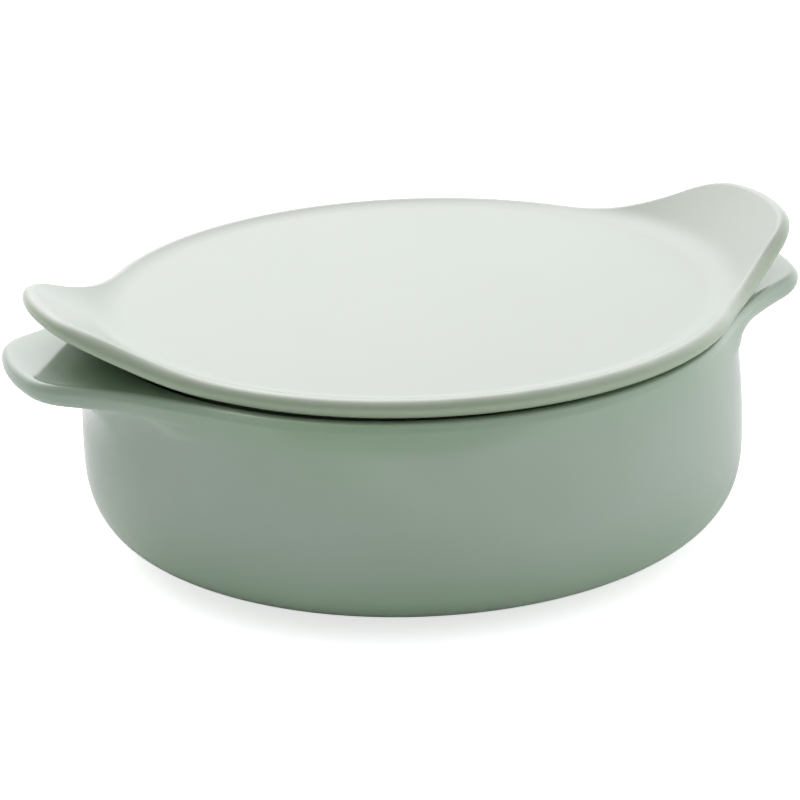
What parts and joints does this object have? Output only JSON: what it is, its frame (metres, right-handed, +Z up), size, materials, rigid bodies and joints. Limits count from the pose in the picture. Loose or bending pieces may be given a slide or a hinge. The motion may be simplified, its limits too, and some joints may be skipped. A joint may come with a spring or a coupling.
{
  "type": "casserole dish",
  "caption": "Round glazed stoneware casserole dish with flat side ears and a lift-off plate lid whose upturned ears are its grips.",
  "frame": {"origin": "centre of the dish on the plane of its foot ring", "axes": "+X from ear to ear, +Z up, +Y from front to back"},
  "size_m": [0.2974, 0.24, 0.1041],
  "materials": {
    "dish_glaze": "gloss sage-green glaze, bare clay on the foot ring",
    "lid_glaze": "gloss sage-green glaze"
  },
  "bodies": {
    "dish": {"dish": "dish_glaze"},
    "lid": {"lid": "lid_glaze"}
  },
  "joints": [
    {"name": "lid_lift", "type": "slide", "parent": "dish", "child": "lid", "axis": [0, 0, 1], "range_m": [0, 0.15]}
  ]
}
